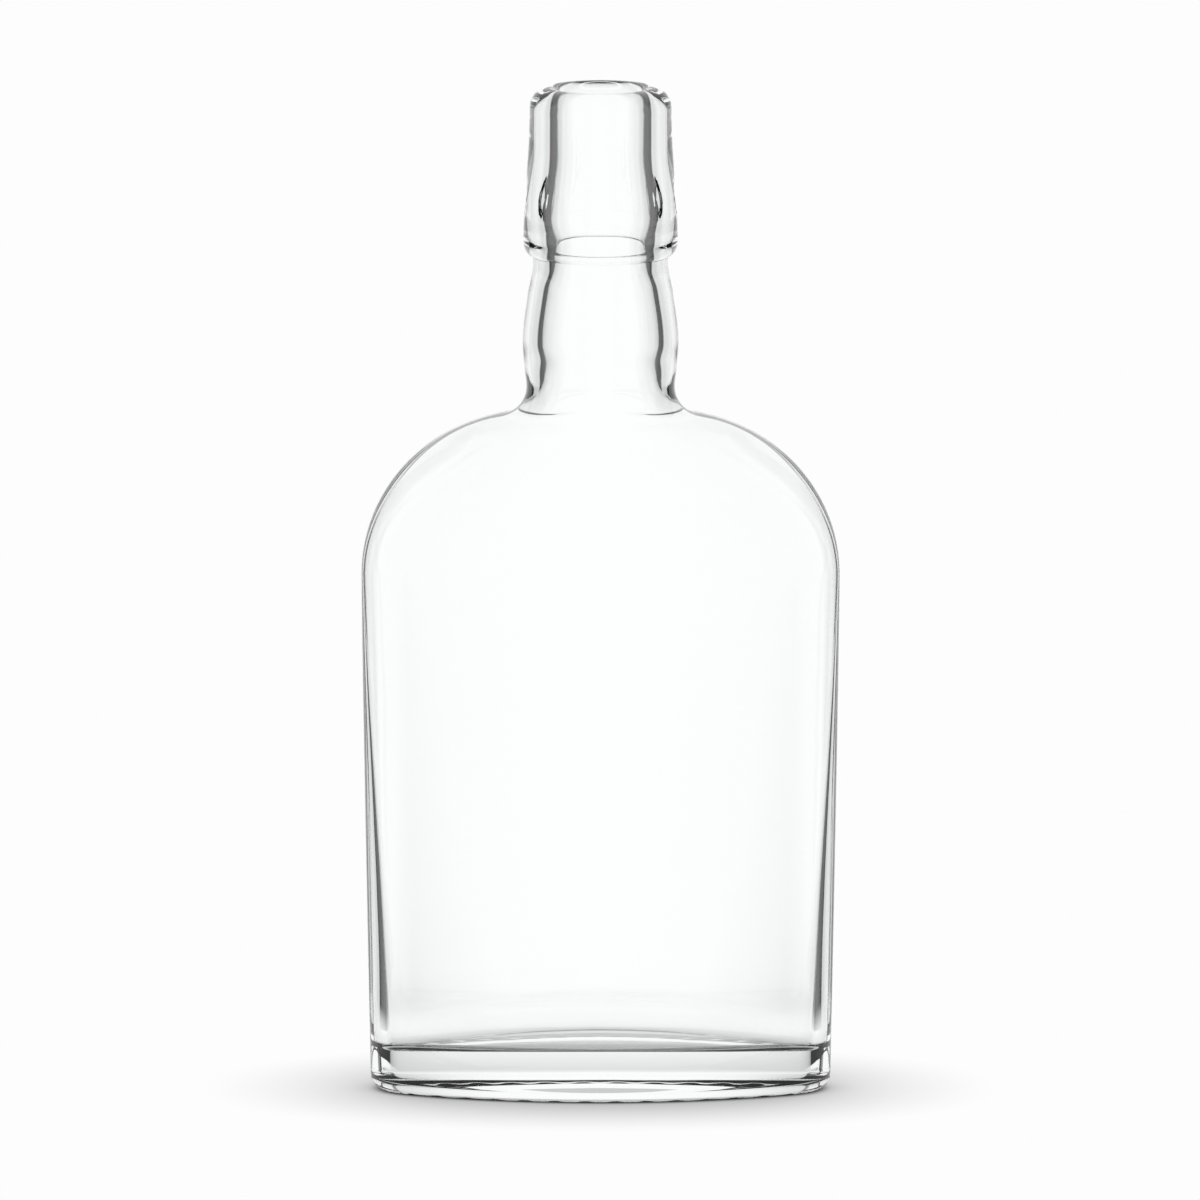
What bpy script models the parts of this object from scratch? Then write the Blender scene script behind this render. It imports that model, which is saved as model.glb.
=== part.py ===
"""Glass pocket flask: one moulding of clear glass, in metres, standing on z = 0 with +Z up.

X runs across the broad faces, Y through them, and the front face looks along -Y. The skin of the
flask is one loft: it starts under the middle of the base, runs up the outside, turns over the lip
and comes down inside to the middle of the cavity floor. The wire sockets are cut into it.
"""

import math

import bmesh
import bpy
import numpy as np

MM = 0.001

# Overall sizes
HEIGHT = 176.2 * MM
BODY_WIDTH = 83.3 * MM
BASE_WIDTH = 80.1 * MM
BODY_DEPTH = 36.0 * MM
BASE_DEPTH = 35.6 * MM
SIDE_RADIUS = 10.4 * MM

# Base: a flat bearing ring round a shallow push-up
HEEL_RADIUS = 2.4 * MM
BEARING_RING = 4.4 * MM
PUSH_UP = 1.7 * MM

# Floor of the cavity: thickest in the middle, arched from side to side, lower towards the back
FLOOR_THICKNESS = 8.4 * MM
FLOOR_ARCH = 1.3 * MM
FLOOR_ARCH_REACH = 33.3 * MM
FLOOR_TILT = 0.04
FLOOR_ROUND_FACES = 0.6 * MM
FLOOR_ROUND_SIDES = 2.0 * MM
FLOOR_TOP = 10.8 * MM

# Shoulder: an arc of nearly a quarter turn that a hollow root joins to the neck
SHOULDER_RADIUS = 28.2 * MM
SHOULDER_START = 90.6 * MM
ROOT_RADIUS = 5.2 * MM
INNER_ROOT_RADIUS = 6.8 * MM
NECK_END_RADIUS = 11.6 * MM

# Neck: a swelling between two waists
LOWER_WAIST_DIAMETER = 25.8 * MM
SWELLING_DIAMETER = 27.1 * MM
UPPER_WAIST_DIAMETER = 23.5 * MM
SWELLING_HEIGHT = 131.5 * MM
UPPER_WAIST_HEIGHT = 145.4 * MM

# Finish: a tapered collar with an undercut skirt and a rounded lip
SKIRT_DIAMETER = 26.9 * MM
SKIRT_BOTTOM = 146.75 * MM
SKIRT_RISE = 2.6 * MM
UNDERCUT_CORNER = 0.25 * MM
LIP_DIAMETER = 24.7 * MM
LIP_ROUND = 3.6 * MM
LIP_RISE = 3.4 * MM
MOUTH_THROAT = 13.6 * MM
MOUTH_DEPTH = 1.75 * MM
THROAT_FADE = 2.0 * MM
# The rest of the lip's thickness rounds over into the throat, and the skirt rounds into its undercut
MOUTH_ROUND = (LIP_DIAMETER - MOUTH_THROAT) / 2 - LIP_ROUND
SKIRT_ROUND = (SKIRT_DIAMETER - UPPER_WAIST_DIAMETER) / 2 - UNDERCUT_CORNER

# Walls, and the rounded ends of the cavity
FACE_WALL = 1.5 * MM
SIDE_WALL_BASE = 3.8 * MM
SIDE_WALL_SHOULDER = 1.9 * MM
SHOULDER_SWELL = 0.7 * MM
SIDE_WALL_POWER = 2.2
ROOT_WALL = 0.8 * MM
CAVITY_END_BASE = 5.0 * MM
CAVITY_END_SHOULDER = 3.6 * MM

# Bore below the throat
MOUTH_BORE = 15.3 * MM
COLLAR_BORE = 17.4 * MM
COLLAR_BORE_HEIGHT = 153.2 * MM
UPPER_WAIST_BORE = 15.8 * MM
WAIST_BORE_HEIGHT = 146.3 * MM
SWELLING_BORE = 20.4 * MM
LOWER_WAIST_BORE = 19.3 * MM

# Wire sockets: blind teardrops at the left and right of the finish
SOCKET_HEIGHT = 157.2 * MM
SOCKET_WIDTH = 6.4 * MM
SOCKET_LENGTH = 7.1 * MM
SOCKET_DEPTH = 1.5 * MM

# Fineness of the loft: points in a quarter of a section, and sections along each stretch
QUARTER_STEPS = 12
CORNER_STEPS = 4
LONG_STEPS = 7
SHOULDER_STEPS = 11
CURVE_STEPS = 3


def clear_scene():
    for old in list(bpy.data.objects):
        bpy.data.objects.remove(old, do_unlink=True)


def glass_material():
    material = bpy.data.materials.new("clear_glass")
    material.use_nodes = True
    shader = material.node_tree.nodes["Principled BSDF"]
    shader.inputs["Base Color"].default_value = (0.95, 0.97, 0.96, 1.0)
    shader.inputs["Metallic"].default_value = 0.0
    shader.inputs["Roughness"].default_value = 0.02
    shader.inputs["IOR"].default_value = 1.52
    shader.inputs["Transmission Weight"].default_value = 1.0
    return material


def on_circle(centre, radius, degrees):
    turn = math.radians(degrees)
    return centre[0] + radius * math.cos(turn), centre[1] + radius * math.sin(turn)


def arc(centre, radius, start, end, steps=CORNER_STEPS):
    """Points (across, up) on an arc from the start angle to the end angle, in degrees."""
    return [on_circle(centre, radius, degrees) for degrees in np.linspace(start, end, steps + 1)]


def oval_arc(centre, across, up, start, end, steps=CORNER_STEPS):
    """The same on an oval, whose half sizes are across and up."""
    unit = arc((0, 0), 1, start, end, steps)
    return [(centre[0] + x * across, centre[1] + y * up) for x, y in unit]


def between(low, high, share):
    return low + (high - low) * share


def ease(share):
    """Goes from 0 to 1 with no slope at either end."""
    held = min(max(share, 0.0), 1.0)
    return held * held * (3 - 2 * held)


def smooth_curve(points):
    """Points on a smooth curve of radius against height through all the given points.

    It stands upright at both ends and at each widest and narrowest point, and never overshoots.
    """
    leans = [(after[0] - before[0]) / (after[1] - before[1]) for before, after in zip(points, points[1:])]
    inner = [2 * a * b / (a + b) if a * b > 0 else 0.0 for a, b in zip(leans, leans[1:])]
    slopes = [0.0, *inner, 0.0]
    curve = [points[0]]
    for i in range(len(points) - 1):
        climb = points[i + 1][1] - points[i][1]
        for t in np.linspace(0, 1, CURVE_STEPS + 1)[1:]:
            lean = slopes[i] * t * (1 - t) ** 2 + slopes[i + 1] * t * t * (t - 1)
            radius = between(points[i][0], points[i + 1][0], ease(t)) + climb * lean
            curve.append((radius, between(points[i][1], points[i + 1][1], t)))
    return curve


def section_point(half_width, half_depth, end_radius, share):
    """Point of a section at a share of the quarter from its front centre to its right side.

    A section is two broad arcs joined by two end arcs. With equal halves it is a circle. The
    shares follow the mean of length and turn, so that the tight ends get enough points.
    """
    reach = half_width - end_radius
    face_radius = (half_depth**2 + reach**2 - end_radius**2) / (2 * (half_depth - end_radius))
    face_turn = math.atan2(reach, face_radius - half_depth)
    quarter = math.pi / 2
    face_length = face_radius * face_turn
    whole_length = face_length + end_radius * (quarter - face_turn)
    face_share = (face_length / whole_length + face_turn / quarter) / 2
    if share <= face_share:
        turn = face_turn * share / face_share
        return face_radius * math.sin(turn), face_radius - half_depth - face_radius * math.cos(turn)
    turn = between(face_turn, quarter, (share - face_share) / (1 - face_share))
    return reach + end_radius * math.sin(turn), -end_radius * math.cos(turn)


def add_ring(mesh, half_width, half_depth, end_radius, level):
    """Adds the vertices of one section. The level is a height, or a function of share and place."""
    ring = []
    for i in range(4 * QUARTER_STEPS):
        quadrant, step = divmod(i, QUARTER_STEPS)
        share = step / QUARTER_STEPS
        if quadrant in (1, 3):
            share = 1 - share
        x, y = section_point(half_width, half_depth, end_radius, share)
        x = x if quadrant < 2 else -x
        y = -y if quadrant in (1, 2) else y
        z = level(share, x, y) if callable(level) else level
        ring.append(mesh.verts.new((x, y, z)))
    return ring


def bridge(mesh, first, second):
    for i in range(len(first)):
        j = (i + 1) % len(first)
        mesh.faces.new((first[i], first[j], second[j], second[i]))


def close_ring(mesh, ring, height, upward):
    """Closes a ring with a fan of triangles to a point on the axis."""
    centre = mesh.verts.new((0, 0, height))
    for i in range(len(ring)):
        j = (i + 1) % len(ring)
        mesh.faces.new((centre, ring[i], ring[j]) if upward else (centre, ring[j], ring[i]))


def body_half_width(height):
    """Outer half width of the body, which tapers down from the shoulder to the base."""
    share = min(max((SHOULDER_START - height) / SHOULDER_START, 0.0), 1.0)
    return (BODY_WIDTH - (BODY_WIDTH - BASE_WIDTH) * share**1.2) / 2


def body_half_depth(height):
    """Outer half depth: nearly straight in the body, then an S curve down to the neck."""
    share = height / SHOULDER_START
    if share <= 1:
        return between(BASE_DEPTH, BODY_DEPTH, ease(share)) / 2
    top = root_centre()[1]
    rise = (height - SHOULDER_START) / (top - SHOULDER_START)
    return between(BODY_DEPTH, LOWER_WAIST_DIAMETER, ease(rise**1.3)) / 2


def end_radius_at(height):
    """Radius of the rounded sides, which opens out up the shoulder."""
    top = root_centre()[1]
    rise = (height - SHOULDER_START) / (top - SHOULDER_START)
    return between(SIDE_RADIUS, NECK_END_RADIUS, ease(rise))


def shoulder_centre():
    return BODY_WIDTH / 2 - SHOULDER_RADIUS, SHOULDER_START


def root_centre():
    """Centre of the hollow arc that touches both the shoulder's arc and the neck."""
    across = LOWER_WAIST_DIAMETER / 2 + ROOT_RADIUS
    start, height = shoulder_centre()
    reach = SHOULDER_RADIUS + ROOT_RADIUS
    return across, height + math.sqrt(reach**2 - (across - start) ** 2)


def inner_root_centre():
    """The same inside, between the cavity's shoulder and the bore."""
    across = LOWER_WAIST_BORE / 2 + INNER_ROOT_RADIUS
    start, height = shoulder_centre()
    reach = SHOULDER_RADIUS - ROOT_WALL + INNER_ROOT_RADIUS
    return across, height + math.sqrt(reach**2 - (across - start) ** 2)


def root_angle(centre):
    """Angle at the shoulder's centre of the point where a root's arc touches the shoulder."""
    start, height = shoulder_centre()
    return math.degrees(math.atan2(centre[1] - height, centre[0] - start))


def heel_sections():
    """Sections round the heel, from the bearing ring's outer edge up to the body."""
    sections = []
    for across, height in arc((0, HEEL_RADIUS), HEEL_RADIUS, -90, 0):
        inset = HEEL_RADIUS - across
        half_width = body_half_width(height) - inset
        half_depth = body_half_depth(height) - inset
        sections.append((half_width, half_depth, end_radius_at(height) - inset, height))
    return sections


def body_sections():
    """Sections from the top of the heel up the body, over the shoulder and into the neck."""
    heights = np.linspace(HEEL_RADIUS, SHOULDER_START, LONG_STEPS + 1)[1:-1]
    route = [(body_half_width(height), height) for height in heights]
    touch = root_angle(root_centre())
    route += arc(shoulder_centre(), SHOULDER_RADIUS, 0, touch, SHOULDER_STEPS)
    route += arc(root_centre(), ROOT_RADIUS, touch + 180, 180)[1:]
    return [(across, body_half_depth(height), end_radius_at(height), height) for across, height in route]


def outer_round_profile():
    """Radius and height up the neck and the finish to the top of the lip, above the root."""
    lower, top = LOWER_WAIST_DIAMETER / 2, HEIGHT - LIP_RISE
    waist, skirt, lip = UPPER_WAIST_DIAMETER / 2, SKIRT_DIAMETER / 2, LIP_DIAMETER / 2
    undercut = SKIRT_BOTTOM - UNDERCUT_CORNER
    skirt_side = SKIRT_BOTTOM + SKIRT_RISE
    swelling = SWELLING_DIAMETER / 2
    neck_route = [
        (lower, root_centre()[1]),
        (between(lower, swelling, 0.55), between(root_centre()[1], SWELLING_HEIGHT, 0.45)),
        (swelling, SWELLING_HEIGHT),
        (between(waist, swelling, 0.5), between(UPPER_WAIST_HEIGHT, SWELLING_HEIGHT, 0.4)),
        (waist, UPPER_WAIST_HEIGHT),
    ]
    neck = smooth_curve(neck_route)[1:] + [(waist, undercut)]
    hollow = arc((waist + UNDERCUT_CORNER, undercut), UNDERCUT_CORNER, 180, 90, 2)[1:]
    corner = oval_arc((skirt - SKIRT_ROUND, skirt_side), SKIRT_ROUND, SKIRT_RISE, -90, 0, 5)[1:]
    collar_route = [
        (skirt, skirt_side),
        (between(skirt, lip, 0.55), between(skirt_side, top, 0.5)),
        (between(skirt, lip, 0.93), between(skirt_side, top, 0.8)),
        (lip, top),
    ]
    collar = smooth_curve(collar_route)[1:]
    rim = oval_arc((lip - LIP_ROUND, top), LIP_ROUND, LIP_RISE, 0, 90, 6)[1:]
    return neck + hollow + corner + collar + rim


def bore_profile():
    """Radius and height from the lip's top down the bore to the top of the inner root."""
    crest = LIP_DIAMETER / 2 - LIP_ROUND
    foot = HEIGHT - MOUTH_DEPTH
    rim = oval_arc((crest, foot), MOUTH_ROUND, MOUTH_DEPTH, 90, 180)
    belly_radius = between(UPPER_WAIST_BORE, SWELLING_BORE, 0.54) / 2
    belly_height = between(WAIST_BORE_HEIGHT, SWELLING_HEIGHT, 0.38)
    route = [
        rim[-1],
        (MOUTH_BORE / 2, foot - THROAT_FADE),
        (MOUTH_BORE / 2, SOCKET_HEIGHT + SOCKET_LENGTH),
        (COLLAR_BORE / 2, COLLAR_BORE_HEIGHT),
        (UPPER_WAIST_BORE / 2, WAIST_BORE_HEIGHT),
        (belly_radius, belly_height),
        (SWELLING_BORE / 2, SWELLING_HEIGHT),
        (LOWER_WAIST_BORE / 2, inner_root_centre()[1]),
    ]
    return rim + smooth_curve(route)[1:]


def side_wall(height):
    """Thickness of the rounded sides, which the melt leaves heavy low down and thin at the bend."""
    share = (height - FLOOR_THICKNESS) / (SHOULDER_START - FLOOR_THICKNESS)
    return between(SIDE_WALL_BASE, SIDE_WALL_SHOULDER, max(share, 0.0) ** SIDE_WALL_POWER)


def cavity_section(half_width, height):
    """Adds the cavity's half depth and end radius to a half width."""
    rise = ease((height - SHOULDER_START) / (inner_root_centre()[1] - SHOULDER_START))
    neck_wall = (LOWER_WAIST_DIAMETER - LOWER_WAIST_BORE) / 2
    half_depth = min(body_half_depth(height) - between(FACE_WALL, neck_wall, rise), half_width)
    end_radius = between(CAVITY_END_BASE, CAVITY_END_SHOULDER, ease(height / SHOULDER_START))
    return half_width, half_depth, end_radius, height


def cavity_sections():
    """Sections from the inner root down to the top of the floor's round."""
    touch = root_angle(inner_root_centre())
    route = arc(inner_root_centre(), INNER_ROOT_RADIUS, 180, touch + 180)[1:]
    for degrees in np.linspace(touch, 0, SHOULDER_STEPS + 1)[1:]:
        share = degrees / touch
        swell = SHOULDER_SWELL * math.sin(math.pi * share) ** 2
        wall = between(SIDE_WALL_SHOULDER, ROOT_WALL, share**3) + swell
        route.append(on_circle(shoulder_centre(), SHOULDER_RADIUS - wall, degrees))
    for height in np.linspace(SHOULDER_START, FLOOR_TOP, LONG_STEPS + 1)[1:]:
        route.append((body_half_width(height) - side_wall(height), height))
    return [cavity_section(across, height) for across, height in route]


def floor_height(x, y):
    """Height of the cavity's floor, which sinks by the arch at its reach from the middle."""
    return FLOOR_THICKNESS - FLOOR_ARCH * (x / FLOOR_ARCH_REACH) ** 2 - FLOOR_TILT * y


def add_floor(mesh, last_ring, last_section):
    """Rounds the cavity into its floor, more widely at the sides than along the faces."""
    half_width, half_depth, end_radius, _ = last_section
    ring = last_ring
    for turn in np.radians(np.linspace(0, 90, CORNER_STEPS + 2)[1:]):
        inset = 1 - math.cos(turn)
        drop = 1 - math.sin(turn)
        section = (
            half_width - FLOOR_ROUND_SIDES * inset,
            half_depth - FLOOR_ROUND_FACES * inset,
            end_radius - FLOOR_ROUND_SIDES * inset,
        )

        def level(share, x, y):
            rounding = between(FLOOR_ROUND_FACES, FLOOR_ROUND_SIDES, ease(share / 0.7))
            return floor_height(x, y) + drop * rounding

        following = add_ring(mesh, *section, level)
        bridge(mesh, ring, following)
        ring = following
    for size in (0.75, 0.5, 0.25):
        smaller = (size * value for value in section)
        following = add_ring(mesh, *smaller, lambda share, x, y: floor_height(x, y))
        bridge(mesh, ring, following)
        ring = following
    close_ring(mesh, ring, FLOOR_THICKNESS, upward=True)


def add_underside(mesh, outer_section):
    """Makes the push-up from the middle of the base out to the bearing ring."""
    half_width, half_depth, end_radius, _ = outer_section
    inner = (half_width - BEARING_RING, half_depth - BEARING_RING, end_radius - BEARING_RING)
    ring = None
    for size in (0.25, 0.5, 0.75, 0.95, 1.0):
        height = PUSH_UP * (1 - size**2)
        following = add_ring(mesh, *(size * value for value in inner), height)
        if ring:
            bridge(mesh, ring, following)
        else:
            close_ring(mesh, following, PUSH_UP, upward=False)
        ring = following
    return ring


def flask_skin():
    """Lofts the whole skin of the flask as one closed mesh."""
    mesh = bmesh.new()
    outside = heel_sections() + body_sections()
    ring = add_underside(mesh, outside[0])
    neck = outer_round_profile() + bore_profile()[1:]
    round_sections = [(radius, radius, radius / 2, height) for radius, height in neck]
    inside = cavity_sections()
    for section in outside + round_sections + inside:
        following = add_ring(mesh, *section)
        bridge(mesh, ring, following)
        ring = following
    add_floor(mesh, ring, inside[-1])
    return mesh


def make_flask():
    mesh = flask_skin()
    data = bpy.data.meshes.new("glass_flask")
    mesh.to_mesh(data)
    mesh.free()
    flask = bpy.data.objects.new("glass_flask", data)
    bpy.context.scene.collection.objects.link(flask)
    data.shade_smooth()
    data.set_sharp_from_angle(angle=math.radians(35))
    data.materials.append(glass_material())
    return flask


def finish_radius(height):
    """Outer radius of the finish at a height."""
    profile = [point for point in outer_round_profile() if point[1] > SKIRT_BOTTOM]
    radii, heights = zip(*profile)
    return float(np.interp(height, heights, radii))


def make_socket_cutter(name, side):
    """A teardrop with its point up, sunk into one side of the finish."""
    mesh = bmesh.new()
    bmesh.ops.create_uvsphere(mesh, u_segments=16, v_segments=10, radius=1)
    for vertex in mesh.verts:
        point = vertex.co
        narrow = 1 - 0.45 * max(point.z, 0.0) ** 2
        point.x *= SOCKET_DEPTH * narrow
        point.y *= SOCKET_WIDTH / 2 * narrow
        point.z *= SOCKET_LENGTH / 2
    data = bpy.data.meshes.new(name)
    mesh.to_mesh(data)
    mesh.free()
    cutter = bpy.data.objects.new(name, data)
    bpy.context.scene.collection.objects.link(cutter)
    cutter.location = (side * finish_radius(SOCKET_HEIGHT), 0, SOCKET_HEIGHT)
    cutter.hide_render = True
    cutter.display_type = "WIRE"
    return cutter


def cut_socket(flask, name, side):
    cut = flask.modifiers.new(name, "BOOLEAN")
    cut.operation = "DIFFERENCE"
    cut.solver = "EXACT"
    cut.object = make_socket_cutter(name, side)


clear_scene()
glass_flask = make_flask()
cut_socket(glass_flask, "right_socket_cutter", 1)
cut_socket(glass_flask, "left_socket_cutter", -1)
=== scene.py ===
# %% [markdown]
# # A clear glass pocket flask
#
# The real flask is one moulding of clear soda-lime glass. Clear glass has no colour of its own to
# paint, so all of its look comes from two things: the exact shape of the outer and inner skins,
# which bend the light, and what there is around it to see through the bends. This lesson loads
# the solid from the CAD frame, dresses it with a finer skin of the same sizes, gives it glass,
# and sets up the pale studio that glass needs.

# %% The frame
import math

import bpy
import numpy as np
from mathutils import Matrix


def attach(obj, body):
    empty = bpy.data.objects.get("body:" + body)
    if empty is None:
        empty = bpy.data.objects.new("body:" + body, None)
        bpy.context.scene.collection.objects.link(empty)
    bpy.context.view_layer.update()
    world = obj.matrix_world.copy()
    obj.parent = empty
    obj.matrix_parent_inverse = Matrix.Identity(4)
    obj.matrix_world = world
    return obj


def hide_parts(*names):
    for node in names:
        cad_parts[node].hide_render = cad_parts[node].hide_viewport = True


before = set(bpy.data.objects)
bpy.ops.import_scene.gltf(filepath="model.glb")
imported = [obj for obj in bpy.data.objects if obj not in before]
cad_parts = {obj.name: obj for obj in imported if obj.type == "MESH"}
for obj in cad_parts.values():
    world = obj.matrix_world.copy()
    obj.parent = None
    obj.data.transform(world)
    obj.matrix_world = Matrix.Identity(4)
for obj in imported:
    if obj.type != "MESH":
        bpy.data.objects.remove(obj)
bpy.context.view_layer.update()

# %% [markdown]
# ## The sizes
#
# A designer draws a flask by its outline from the front, its outline from the side, and the
# thickness of its walls. These are the CAD source's values, in millimetres. Only small forms
# differ, by less than a millimetre, because the picture shows them: the fine ribs of the bearing
# ring, the width and the soft rounds of the sockets, the rise of the lip's round, and the inner
# skin's turn at the shoulder and at the root of the neck.

# %% Sizes
MM = 0.001
HEIGHT = 176.2
BODY_WIDTH, BASE_WIDTH = 83.3, 80.1
BODY_DEPTH, BASE_DEPTH = 36.0, 35.6
SIDE_RADIUS = 10.4
WIDTH_POWER, LEAN_POWER = 1.2, 1.3

HEEL_RADIUS, BEARING_RING, PUSH_UP = 2.4, 4.4, 1.7
FLOOR_THICKNESS, FLOOR_ARCH, FLOOR_TILT = 8.4, 1.3, 0.04
FLOOR_ARCH_REACH = BODY_WIDTH / 2.5
FLOOR_ROUND_FACES, FLOOR_ROUND_SIDES, FLOOR_TOP = 0.6, 2.0, 10.8
FACE_SHARE = 0.7

SHOULDER_RADIUS, SHOULDER_START, ROOT_WALL = 28.2, 90.6, 0.8
ROOT_RADIUS, INNER_ROOT_RADIUS, NECK_END_RADIUS = 5.2, 9.5, 11.6
LOWER_WAIST, SWELLING, UPPER_WAIST = 25.8 / 2, 27.1 / 2, 23.5 / 2
SWELLING_HEIGHT, UPPER_WAIST_HEIGHT = 131.5, 145.4

SKIRT, SKIRT_BOTTOM, SKIRT_RISE, UNDERCUT_CORNER = 26.9 / 2, 146.75, 2.6, 0.25
LIP, LIP_ROUND, LIP_RISE = 24.7 / 2, 3.6, 3.6
MOUTH_BORE, COLLAR_BORE, UPPER_WAIST_BORE = 15.3 / 2, 17.4 / 2, 15.8 / 2
SWELLING_BORE, LOWER_WAIST_BORE = 20.4 / 2, 19.3 / 2
MOUTH_DEPTH, MOUTH_THROAT, THROAT_FADE = 1.75, 13.6 / 2, 2.0
MOUTH_ROUND = LIP - MOUTH_THROAT - LIP_ROUND
SKIRT_ROUND = SKIRT - UPPER_WAIST - UNDERCUT_CORNER
COLLAR_BORE_HEIGHT, WAIST_BORE_HEIGHT = 153.2, 146.3

FACE_WALL, SIDE_WALL_BASE, SIDE_WALL_SHOULDER = 1.5, 3.8, 1.9
SIDE_WALL_POWER, SHOULDER_SWELL = 2.2, 1.1
CAVITY_END_BASE, CAVITY_END_SHOULDER = 5.0, 2.0
SOCKET_HEIGHT, SOCKET_WIDTH, SOCKET_LENGTH, SOCKET_DEPTH = 157.2, 5.0, 7.1, 1.5
SOCKET_EDGE, SOCKET_NARROWING, FINISH_SIDE = 0.3, 0.45, 6.0
RIB_POINTS, RIB_DEPTH, RIB_TOP, VALLEY_SHARPNESS = 5, 0.15, 0.5, 4
print("height, width and depth in mm:", HEIGHT, BODY_WIDTH, BODY_DEPTH)

# %% [markdown]
# ## One section
#
# Cut across its body, the flask is a lens: two broad arcs for the faces, joined by two small arcs
# at the sides. Cut across its neck, it is a circle. One formula gives both, because a lens whose
# width and depth are equal is a circle. No modelling operator turns one into the other while it
# keeps a wall's thickness, so the skin is made in mesh code, ring by ring, as a glass mould is
# drawn section by section.

# %% Section of the flask
QUARTER = 60
RING_STEPS = 5


def between(low, high, share):
    return low + (high - low) * share


def ease(share):
    """Goes from 0 to 1 with no slope at either end."""
    held = np.clip(share, 0.0, 1.0)
    return held * held * (3 - 2 * held)


def lens_point(half_width, half_depth, end_radius, share):
    """Point at a share of the quarter from the middle of the front to the right side."""
    reach = half_width - end_radius
    face_radius = (half_depth**2 + reach**2 - end_radius**2) / (2 * (half_depth - end_radius))
    face_turn = math.atan2(reach, face_radius - half_depth)
    quarter = math.pi / 2
    face_length = face_radius * face_turn
    whole_length = face_length + end_radius * (quarter - face_turn)
    face_share = (face_length / whole_length + face_turn / quarter) / 2
    if share <= face_share:
        turn = face_turn * share / face_share
        return face_radius * math.sin(turn), face_radius - half_depth - face_radius * math.cos(turn)
    turn = between(face_turn, quarter, (share - face_share) / (1 - face_share))
    return reach + end_radius * math.sin(turn), -end_radius * math.cos(turn)


shares = []
mirrors = []
for index in range(4 * QUARTER):
    quadrant, step = divmod(index, QUARTER)
    shares.append(1 - step / QUARTER if quadrant in (1, 3) else step / QUARTER)
    mirrors.append((1 if quadrant < 2 else -1, -1 if quadrant in (1, 2) else 1))
print("points round a section:", len(shares))


def ring_of(half_width, half_depth, end_radius, level):
    """All the points of a section. Its level is a height, or a function of share and place."""
    points = []
    for share, (flip_x, flip_y) in zip(shares, mirrors):
        x, y = lens_point(half_width, half_depth, end_radius, share)
        x, y = flip_x * x, flip_y * y
        points.append((x, y, level(share, x, y) if callable(level) else level))
    return points


# %% [markdown]
# ## The body from the front and from the side
#
# From the front, the shoulder is nearly a quarter of a circle that a hollow arc, the root, joins
# to the neck. From the side, the faces run almost straight up and then lean in to the neck with
# an S curve. The inside has the same outlines, moved in by the wall.

# %% Body outlines
def arc(centre, radius, start, end, steps):
    """Points on part of a circle, from one angle in degrees to another."""
    turns = np.radians(np.linspace(start, end, steps + 1))
    across, up = centre
    return [(across + radius * math.cos(turn), up + radius * math.sin(turn)) for turn in turns]


SHOULDER_CENTRE = (BODY_WIDTH / 2 - SHOULDER_RADIUS, SHOULDER_START)


def root_centre(across, reach):
    """Centre of the hollow arc that touches the shoulder's arc and the neck."""
    start, height = SHOULDER_CENTRE
    return across, height + math.sqrt(reach**2 - (across - start) ** 2)


ROOT = root_centre(LOWER_WAIST + ROOT_RADIUS, SHOULDER_RADIUS + ROOT_RADIUS)
INNER_ROOT = root_centre(
    LOWER_WAIST_BORE + INNER_ROOT_RADIUS, SHOULDER_RADIUS - ROOT_WALL + INNER_ROOT_RADIUS
)
print("heights where the root meets the neck, in mm:", round(ROOT[1], 2), round(INNER_ROOT[1], 2))


def root_angle(centre):
    """Angle at which the shoulder's arc gives way to the root's."""
    start, height = SHOULDER_CENTRE
    return math.degrees(math.atan2(centre[1] - height, centre[0] - start))


def half_width_at(height):
    share = np.clip((SHOULDER_START - height) / SHOULDER_START, 0.0, 1.0)
    return (BODY_WIDTH - (BODY_WIDTH - BASE_WIDTH) * share**WIDTH_POWER) / 2


def half_depth_at(height):
    if height <= SHOULDER_START:
        return between(BASE_DEPTH, BODY_DEPTH, ease(height / SHOULDER_START)) / 2
    rise = (height - SHOULDER_START) / (ROOT[1] - SHOULDER_START)
    return between(BODY_DEPTH / 2, LOWER_WAIST, ease(rise**LEAN_POWER))


def end_radius_at(height):
    rise = (height - SHOULDER_START) / (ROOT[1] - SHOULDER_START)
    return between(SIDE_RADIUS, NECK_END_RADIUS, ease(rise))


def outer_section(half_width, height, inset=0.0):
    return half_width - inset, half_depth_at(height) - inset, end_radius_at(height) - inset, height


# %% Outside of the body, from the bearing ring's edge up into the neck
outside = []
for across, height in arc((0, HEEL_RADIUS), HEEL_RADIUS, -90, 0, 12):
    outside.append(outer_section(half_width_at(height), height, HEEL_RADIUS - across))
side_heights = np.linspace(HEEL_RADIUS, SHOULDER_START, 26)[1:-1]
route = [(half_width_at(height), height) for height in side_heights]
touch = root_angle(ROOT)
route += arc(SHOULDER_CENTRE, SHOULDER_RADIUS, 0, touch, 40)
route += arc(ROOT, ROOT_RADIUS, touch + 180, 180, 10)[1:]
outside += [outer_section(across, height) for across, height in route]
print("sections outside:", len(outside))

# %% [markdown]
# ## The neck, the finish and the bore
#
# Glass makers call the top of a bottle its finish. This one is a tapered collar with an undercut
# skirt, which a lever closure's wire would hold on to. The neck and the finish are round, so a
# radius against height is enough. A smooth curve runs through a few measured radii and never
# swings past them.

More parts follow.
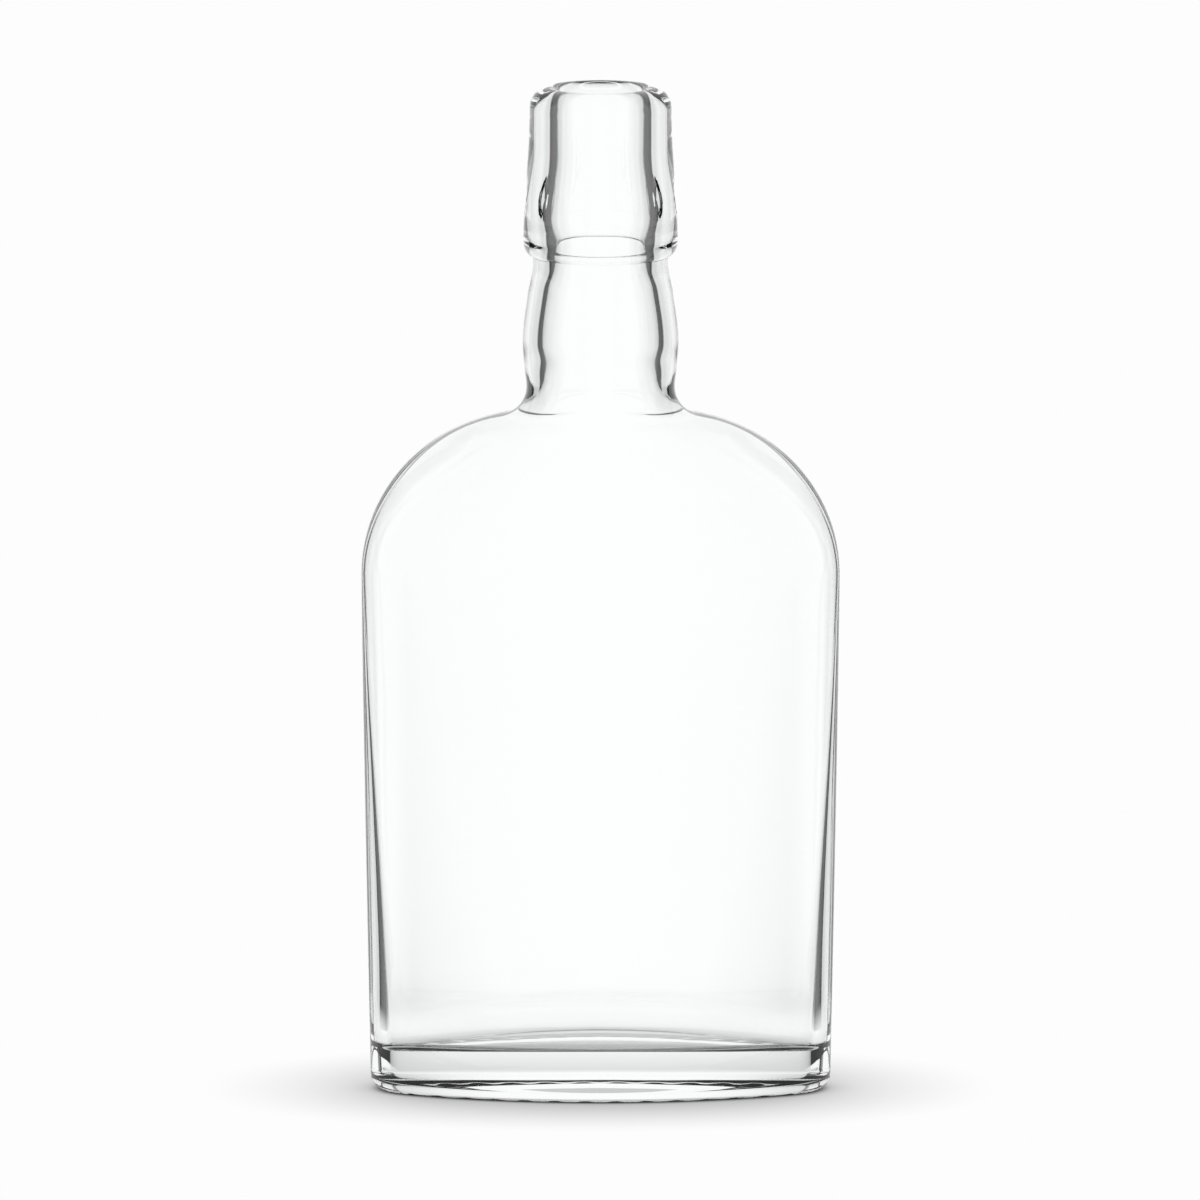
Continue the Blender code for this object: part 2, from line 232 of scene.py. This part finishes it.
# %% Round outlines
def smooth_curve(points, steps):
    """Radius against height on a smooth curve that stands upright at its turning points."""
    leans = [(b[0] - a[0]) / (b[1] - a[1]) for a, b in zip(points, points[1:])]
    inner = [2 * a * b / (a + b) if a * b > 0 else 0.0 for a, b in zip(leans, leans[1:])]
    slopes = [0.0, *inner, 0.0]
    curve = [points[0]]
    for i in range(len(points) - 1):
        climb = points[i + 1][1] - points[i][1]
        for t in np.linspace(0, 1, steps + 1)[1:]:
            lean = slopes[i] * t * (1 - t) ** 2 + slopes[i + 1] * t * t * (t - 1)
            radius = between(points[i][0], points[i + 1][0], ease(t)) + climb * lean
            curve.append((radius, between(points[i][1], points[i + 1][1], t)))
    return curve


undercut = SKIRT_BOTTOM - UNDERCUT_CORNER
skirt_side = SKIRT_BOTTOM + SKIRT_RISE
lip_side = HEIGHT - LIP_RISE
neck = smooth_curve([
    (LOWER_WAIST, ROOT[1]),
    (between(LOWER_WAIST, SWELLING, 0.55), between(ROOT[1], SWELLING_HEIGHT, 0.45)),
    (SWELLING, SWELLING_HEIGHT),
    (between(UPPER_WAIST, SWELLING, 0.5), between(UPPER_WAIST_HEIGHT, SWELLING_HEIGHT, 0.4)),
    (UPPER_WAIST, UPPER_WAIST_HEIGHT),
], 9)[1:] + [(UPPER_WAIST, undercut)]
neck += arc((UPPER_WAIST + UNDERCUT_CORNER, undercut), UNDERCUT_CORNER, 180, 90, 5)[1:]
for x, y in arc((0, 0), 1, -90, 0, 14)[1:]:
    neck.append((SKIRT - SKIRT_ROUND + x * SKIRT_ROUND, skirt_side + y * SKIRT_RISE))
collar = smooth_curve([
    (SKIRT, skirt_side),
    (between(SKIRT, LIP, 0.55), between(skirt_side, lip_side, 0.5)),
    (between(SKIRT, LIP, 0.93), between(skirt_side, lip_side, 0.8)),
    (LIP, lip_side),
], 12)[1:]
lip_turn = arc((0, 0), 1, 0, 90, 18)[1:]
rim = [(LIP - LIP_ROUND + x * LIP_ROUND, lip_side + y * LIP_RISE) for x, y in lip_turn]
quarter_turn = arc((0, 0), 1, 90, 180, 12)[1:]
mouth_foot = HEIGHT - MOUTH_DEPTH
mouth = [
    (LIP - LIP_ROUND + x * MOUTH_ROUND, mouth_foot + y * MOUTH_DEPTH) for x, y in quarter_turn
]
bore = smooth_curve([
    mouth[-1],
    (MOUTH_BORE, mouth_foot - THROAT_FADE),
    (MOUTH_BORE, SOCKET_HEIGHT + SOCKET_LENGTH),
    (COLLAR_BORE, COLLAR_BORE_HEIGHT),
    (UPPER_WAIST_BORE, WAIST_BORE_HEIGHT),
    (
        between(UPPER_WAIST_BORE, SWELLING_BORE, 0.54),
        between(WAIST_BORE_HEIGHT, SWELLING_HEIGHT, 0.38),
    ),
    (SWELLING_BORE, SWELLING_HEIGHT),
    (LOWER_WAIST_BORE, INNER_ROOT[1]),
], 7)[1:]
outline = neck + collar + rim + mouth + bore
round_part = [(radius, radius, radius / 2, height) for radius, height in outline]
print("sections of the neck, finish and bore:", len(round_part))

# %% [markdown]
# ## The cavity
#
# Blown glass is never even. It stays heavy low down at the sides, where the parison first touched
# the mould, and is drawn thin where it had to stretch into the shoulder. Those changes of wall
# make the soft bands that show a real flask's sides, so they are kept here.

# %% Inside of the body, from the root down to the floor's round
def side_wall(height):
    share = np.clip((height - FLOOR_THICKNESS) / (SHOULDER_START - FLOOR_THICKNESS), 0.0, 1.0)
    return between(SIDE_WALL_BASE, SIDE_WALL_SHOULDER, share**SIDE_WALL_POWER)


def cavity_section(half_width, height):
    rise = ease((height - SHOULDER_START) / (INNER_ROOT[1] - SHOULDER_START))
    neck_wall = LOWER_WAIST - LOWER_WAIST_BORE
    half_depth = min(half_depth_at(height) - between(FACE_WALL, neck_wall, rise), half_width)
    end_radius = between(CAVITY_END_BASE, CAVITY_END_SHOULDER, ease(height / SHOULDER_START))
    return half_width, half_depth, end_radius, height


touch = root_angle(INNER_ROOT)
route = arc(INNER_ROOT, INNER_ROOT_RADIUS, 180, touch + 180, 10)[1:]
for degrees in np.linspace(touch, 0, 41)[1:]:
    share = degrees / touch
    wall = between(SIDE_WALL_SHOULDER, ROOT_WALL, share**3)
    wall += SHOULDER_SWELL * math.sin(math.pi * share) ** 2
    route += arc(SHOULDER_CENTRE, SHOULDER_RADIUS - wall, degrees, degrees, 0)
for height in np.linspace(SHOULDER_START, FLOOR_TOP, 26)[1:]:
    route.append((half_width_at(height) - side_wall(height), height))
inside = [cavity_section(across, height) for across, height in route]
print("sections of the cavity:", len(inside))

# %% [markdown]
# ## The floor of the cavity and the underside
#
# The thick floor is pressed glass that sagged a little while it was hot: it is arched from side
# to side and drops towards the back, with a tight round where it meets the walls. The underside
# is pushed up in the middle, so that the flask stands on a flat ring and doesn't rock.

# %% Floor of the cavity, from its round to its middle
def floor_height(x, y):
    return FLOOR_THICKNESS - FLOOR_ARCH * (x / FLOOR_ARCH_REACH) ** 2 - FLOOR_TILT * y


floor_rings = []
half_width, half_depth, end_radius, _ = inside[-1]
for turn in np.radians(np.linspace(0, 90, 13)[1:]):
    inset = 1 - math.cos(turn)
    drop = 1 - math.sin(turn)
    floor_edge = (
        half_width - FLOOR_ROUND_SIDES * inset,
        half_depth - FLOOR_ROUND_FACES * inset,
        end_radius - FLOOR_ROUND_SIDES * inset,
    )

    def floor_level(share, x, y):
        round_height = between(FLOOR_ROUND_FACES, FLOOR_ROUND_SIDES, ease(share / FACE_SHARE))
        return floor_height(x, y) + round_height * drop

    floor_rings.append(ring_of(*floor_edge, floor_level))
for size in np.linspace(0.95, 0.05, 13):
    smaller = [size * value for value in floor_edge]
    floor_rings.append(ring_of(*smaller, lambda share, x, y: floor_height(x, y)))
print("rings of the floor:", len(floor_rings))

# %% Underside: the push-up, from its middle out to the bearing ring
base_rings = []
ring_edge = [value - BEARING_RING for value in outside[0][:3]]
for size in (0.1, 0.2, 0.3, 0.4, 0.5, 0.6, 0.7, 0.8, 0.88, 0.94, 0.98, 1.0):
    height = PUSH_UP * (1 - size**2)
    base_rings.append(ring_of(*(size * value for value in ring_edge), height))
for inset in np.linspace(BEARING_RING, 0, RING_STEPS + 1)[1:-1]:
    base_rings.append(ring_of(*(value - inset for value in outside[0][:3]), 0.0))
print("rings of the underside:", len(base_rings))

# %% [markdown]
# ## The whole skin
#
# The rings run in one unbroken order from the middle of the underside, up the outside, over the
# lip and down to the middle of the cavity's floor. Neighbours are joined with four-sided faces,
# and a point closes each end, so the mesh is watertight like the real glass.

# %% Rings and faces
rings = base_rings + [ring_of(*section) for section in outside + round_part + inside] + floor_rings
points = np.array(rings, dtype=float)
around = points.shape[1]
print("rings:", len(rings), "points:", points.shape[0] * around)


def skin_faces(ring_count):
    faces = []
    pole = ring_count * around
    last = pole - around
    for i in range(around):
        j = (i + 1) % around
        for low in range(0, last, around):
            high = low + around
            faces.append((low + i, low + j, high + j, high + i))
        faces.append((pole, j, i))
        faces.append((pole + 1, last + i, last + j))
    return faces


# %% [markdown]
# ## The sockets
#
# Pins pressed the two sockets into the hot collar, so their edges are soft. Cutting them with a
# Boolean would leave a hard edge, so the skin's own points are pushed in instead, evenly over a
# flat bottom and less and less over a rounded edge.

# %% Sockets pressed into the collar
def press_sockets(skin):
    """Moves the points of the finish's outside inwards within each socket's teardrop."""
    first = len(base_rings) + len(outside)
    last = first + len(neck) + len(collar)
    patch = skin[first:last]
    up = (patch[..., 2] - SOCKET_HEIGHT) / (SOCKET_LENGTH / 2)
    narrow = 1 - SOCKET_NARROWING * np.clip(up, 0, 1) ** 2
    across = patch[..., 1] / (SOCKET_WIDTH / 2 * narrow)
    distance = np.sqrt(up**2 + across**2)
    push = SOCKET_DEPTH * ease((1 - distance) / SOCKET_EDGE)
    at_side = np.abs(patch[..., 0]) > FINISH_SIDE
    patch[..., 0] -= np.sign(patch[..., 0]) * np.where(at_side, push, 0)
    print("deepest socket point in mm:", round(float(push.max()), 2))


press_sockets(points)

# %% [markdown]
# ## The ribs of the bearing ring
#
# A hot flask is set down on fine ribs, so that its base touches the cold belt only at their tops.
# In the picture they break up the bright line of the front edge. They are waves in the skin's own
# points: the broad tops stay on the ground, and the narrow valleys rise a little and fade out up
# the heel.

# %% Ribs
def raise_valleys(skin):
    """Lifts the bearing ring and the heel between the ribs' tops."""
    wave = -np.cos(2 * math.pi * np.arange(around) / RIB_POINTS)
    wave = (wave - wave.min()) / (wave.max() - wave.min())
    ring_start = len(base_rings) - (RING_STEPS - 1)
    patch = skin[ring_start : len(base_rings) + len(outside)]
    fade = ease(1 - patch[..., 2] / RIB_TOP)
    patch[..., 2] += RIB_DEPTH * wave**VALLEY_SHARPNESS * fade
    print("ribs round the base:", around // RIB_POINTS)


raise_valleys(points)

# %% Skin object
poles = np.array([(0, 0, PUSH_UP), (0, 0, FLOOR_THICKNESS)])
vertices = np.concatenate([points.reshape(-1, 3), poles]) * MM
skin_mesh = bpy.data.meshes.new("clear_glass_flask")
skin_mesh.from_pydata([tuple(vertex) for vertex in vertices], [], skin_faces(len(rings)))
skin_mesh.update()
flask = bpy.data.objects.new("clear_glass_flask", skin_mesh)
bpy.context.scene.collection.objects.link(flask)
skin_mesh.shade_smooth()
print("faces of the skin:", len(skin_mesh.polygons))

# %% [markdown]
# ## Glass
#
# Flask glass is soda-lime with an index of about 1.52, fire-polished smooth outside. It has no
# colour to see in walls this thin. The mould leaves the faces very slightly wavy, which bends
# what is behind them a little.

# %% Helpers for materials
def linear(hex_colour):
    """Turns an sRGB hex colour into the linear values that Blender works in."""
    values = [int(hex_colour[i : i + 2], 16) / 255 for i in (1, 3, 5)]
    straight = [v / 12.92 if v <= 0.04045 else ((v + 0.055) / 1.055) ** 2.4 for v in values]
    return (*straight, 1.0)


def add(tree, kind, links=None, **settings):
    """Adds a node, sets its sockets and properties by name, and links its inputs."""
    node = tree.nodes.new(kind)
    for name, value in settings.items():
        socket = node.inputs.get(name.replace("_", " "))
        if socket is not None:
            socket.default_value = value
        else:
            setattr(node, name, value)
    for name, source in (links or {}).items():
        tree.links.new(source, node.inputs[name])
    return node


# A Mix node has several sockets named A, B and Result, so those for colours go by number.
COLOUR_A, COLOUR_B, MIXED_COLOUR = 6, 7, 2
print("a middle grey, #808080, in linear light:", round(linear("#808080")[0], 3))

# %% Glass material
WAVE_SPACING, WAVE_HEIGHT = 11.1, 0.04
glass = bpy.data.materials.new("soda_lime_glass_fire_polished")
glass.use_nodes = True
tree = glass.node_tree
shader = tree.nodes["Principled BSDF"]
shader.inputs["Base Color"].default_value = linear("#FEFFFF")
shader.inputs["Roughness"].default_value = 0.0
shader.inputs["IOR"].default_value = 1.52
shader.inputs["Transmission Weight"].default_value = 1.0
place = add(tree, "ShaderNodeTexCoord").outputs["Object"]
links = {"Vector": place}
waves = add(tree, "ShaderNodeTexNoise", links, Scale=1 / (WAVE_SPACING * MM), Detail=1.0)
links = {"Height": waves.outputs["Fac"]}
bump = add(tree, "ShaderNodeBump", links, Strength=1.0, Distance=WAVE_HEIGHT * MM)
tree.links.new(bump.outputs["Normal"], shader.inputs["Normal"])
skin_mesh.materials.append(glass)
print("nodes of the glass:", len(tree.nodes))

# %% The skin's place in the frame
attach(flask, "root")
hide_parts("glass_flask")
print("dressed pieces:", flask.name)

# %% [markdown]
# ## The studio
#
# Glass shows only what is around it. Against a plain white backdrop a flask would vanish, so a
# photographer lights a backdrop that is bright behind the flask, fades a little to its sides and
# then ends. Beyond it stand dark cards, just outside the picture, and the lamps are behind the
# camera. Light that the steep edges of the glass bend far to the side comes from the cards, and
# draws the dark outline. Here there are no cards and no lamps: the backdrop and the cards are
# painted as one brightness round the flask into the world and into the paper's glow, and only
# rays that have met glass see it: the camera itself sees plain white.

# %% Brightness round the flask, against the angle from straight behind it
AROUND = (
    (0, 1.0), (14, 0.99), (22, 0.93), (26, 0.88), (30, 0.82), (34, 0.77), (45, 0.74),
    (49, 0.05), (55, 0.09), (62, 0.12), (72, 0.14), (83, 0.1), (90, 1.0), (180, 1.0),
)
HALF_TURN = 180.0


def brightness_round(tree, direction):
    """Adds nodes that give the brightness seen along a direction or at a place on the floor."""
    parts = add(tree, "ShaderNodeSeparateXYZ", {"Vector": direction})
    across = add(tree, "ShaderNodeMath", {0: parts.outputs["X"]}, operation="ABSOLUTE")
    links = {0: across.outputs[0], 1: parts.outputs["Y"]}
    turn = add(tree, "ShaderNodeMath", links, operation="ARCTAN2")
    share = add(tree, "ShaderNodeMath", {0: turn.outputs[0]}, operation="DIVIDE")
    share.inputs[1].default_value = math.pi
    curve = add(tree, "ShaderNodeValToRGB", {"Fac": share.outputs[0]})
    ramp = curve.color_ramp
    ramp.elements[0].position = 0.0
    ramp.elements[1].position = 1.0
    while len(ramp.elements) < len(AROUND):
        ramp.elements.new(0.5)
    for element, (degrees, level) in zip(ramp.elements, AROUND):
        element.position = degrees / HALF_TURN
        element.color = (level, level, level, 1.0)
    return curve.outputs["Color"]


def met_glass(tree):
    """Adds nodes that give 1 for a ray that has just passed through glass or off it."""
    rays = add(tree, "ShaderNodeLightPath")
    links = {0: rays.outputs["Is Glossy Ray"], 1: rays.outputs["Is Transmission Ray"]}
    return add(tree, "ShaderNodeMath", links, operation="MAXIMUM").outputs[0]


print("stops of the brightness:", len(AROUND))

# %% [markdown]
# ## The paper floor
#
# The flask stands on white paper that is evenly lit, so the paper is given its own light, and a
# painted shade, made by Ambient Occlusion nodes, darkens that glow where the flask keeps the
# light off. Seen through the glass, that painted shade reaches further, and at some distance from
# the flask the glow is painted with the dark bands of the cards.

# %% Sheet of paper
PAPER_SIZE, PAPER_GAP = 6000.0, 0.05
bpy.ops.object.select_all(action="DESELECT")
bpy.ops.mesh.primitive_plane_add(size=PAPER_SIZE * MM, location=(0, 0, -PAPER_GAP * MM))
floor = bpy.context.active_object
floor.name = "paper_floor"
print("sheet of paper in m:", [round(side, 2) for side in floor.dimensions])

# %% Paper material
PAPER_WHITE, PAPER_NEAR = linear("#FDFDFD"), linear("#FCFCFC")
SHADE_REACH, DEEP_REACH, SHADE_SAMPLES = 30.0, 50.0, 16
PAINTED_CARDS_START, PAINTED_CARDS_FULL = 85.0, 115.0
paper = bpy.data.materials.new("white_paper_floor")
paper.use_nodes = True
tree = paper.node_tree
tree.nodes.clear()
place = add(tree, "ShaderNodeTexCoord").outputs["Object"]
pattern = brightness_round(tree, place)
away = add(tree, "ShaderNodeVectorMath", {0: place}, operation="LENGTH")
links = {"Value": away.outputs["Value"]}
# Painted cards: further from the flask, the paper's glow takes the dark bands of that brightness.
painted_cards = add(tree, "ShaderNodeMapRange", links, interpolation_type="SMOOTHSTEP")
painted_cards.inputs["From Min"].default_value = PAINTED_CARDS_START * MM
painted_cards.inputs["From Max"].default_value = PAINTED_CARDS_FULL * MM
beyond = add(tree, "ShaderNodeMix", {"Factor": painted_cards.outputs["Result"]}, data_type="RGBA")
beyond.inputs[COLOUR_A].default_value = PAPER_NEAR
tree.links.new(pattern, beyond.inputs[COLOUR_B])
# Painted shade: Ambient Occlusion darkens the paper's glow near the flask, further for glass rays.
kind = "ShaderNodeAmbientOcclusion"
shade = add(tree, kind, Color=PAPER_WHITE, Distance=SHADE_REACH * MM, samples=SHADE_SAMPLES)
links = {"Color": beyond.outputs[MIXED_COLOUR]}
deep_shade = add(tree, kind, links, Distance=DEEP_REACH * MM, samples=SHADE_SAMPLES)
paint = add(tree, "ShaderNodeMix", {"Factor": met_glass(tree)}, data_type="RGBA")
tree.links.new(shade.outputs["Color"], paint.inputs[COLOUR_A])
tree.links.new(deep_shade.outputs["Color"], paint.inputs[COLOUR_B])
glow = add(tree, "ShaderNodeEmission", {"Color": paint.outputs[MIXED_COLOUR]})
add(tree, "ShaderNodeOutputMaterial", {"Surface": glow.outputs[0]})
floor.data.materials.append(paper)
print("nodes of the paper:", len(tree.nodes))

# %% [markdown]
# ## The backdrop and the ceiling
#
# The world stands for all that is further off. It has the same brightness round the flask as the
# floor, and high up it turns into a pale ceiling, which lights the lip and the shoulder.

# %% World
# How far a direction of length 1 points up where the ceiling starts and where it is whole.
CEILING_START, CEILING_FULL = 0.55, 0.8
world = bpy.data.worlds.new("pale_studio")
bpy.context.scene.world = world
world.use_nodes = True
tree = world.node_tree
tree.nodes.clear()
direction = add(tree, "ShaderNodeTexCoord").outputs["Generated"]
pattern = brightness_round(tree, direction)
parts = add(tree, "ShaderNodeSeparateXYZ", {"Vector": direction})
links = {"Value": parts.outputs["Z"]}
above = add(tree, "ShaderNodeMapRange", links, interpolation_type="SMOOTHSTEP")
above.inputs["From Min"].default_value = CEILING_START
above.inputs["From Max"].default_value = CEILING_FULL
ceiling = add(tree, "ShaderNodeMix", {"Factor": above.outputs["Result"]}, data_type="RGBA")
tree.links.new(pattern, ceiling.inputs[COLOUR_A])
ceiling.inputs[COLOUR_B].default_value = linear("#F3F3F3")
paint = add(tree, "ShaderNodeMix", {"Factor": met_glass(tree)}, data_type="RGBA")
tree.links.new(ceiling.outputs[MIXED_COLOUR], paint.inputs[COLOUR_B])
paint.inputs[COLOUR_A].default_value = PAPER_WHITE
sky = add(tree, "ShaderNodeBackground", {"Color": paint.outputs[MIXED_COLOUR]})
add(tree, "ShaderNodeOutputWorld", {"Surface": sky.outputs[0]})
print("nodes of the world:", len(tree.nodes))

# %% [markdown]
# ## Camera
#
# The picture looks a little down on the flask, from far away with a long lens, so that its sides
# stay parallel.

# %% Camera
ELEVATION, DISTANCE, LOOK_AT = 8.7, 6000.0, (-0.1, 0.0, 86.05)
PX_PER_MM, FRAME_PX, SENSOR = 5.743, 1200, 36.0
camera_data = bpy.data.cameras.new("camera")
camera_data.sensor_width = SENSOR
camera_data.lens = SENSOR * DISTANCE / (FRAME_PX / PX_PER_MM)
camera_data.clip_start = 0.1
camera_data.clip_end = 100.0
camera = bpy.data.objects.new("camera", camera_data)
bpy.context.scene.collection.objects.link(camera)
slope = math.radians(ELEVATION)
camera.location = (
    LOOK_AT[0] * MM,
    (LOOK_AT[1] - DISTANCE * math.cos(slope)) * MM,
    (LOOK_AT[2] + DISTANCE * math.sin(slope)) * MM,
)
camera.rotation_euler = (math.pi / 2 - slope, 0, 0)
bpy.context.scene.camera = camera
bpy.context.scene.view_settings.view_transform = "Standard"
print("lens in mm:", round(camera_data.lens, 1))
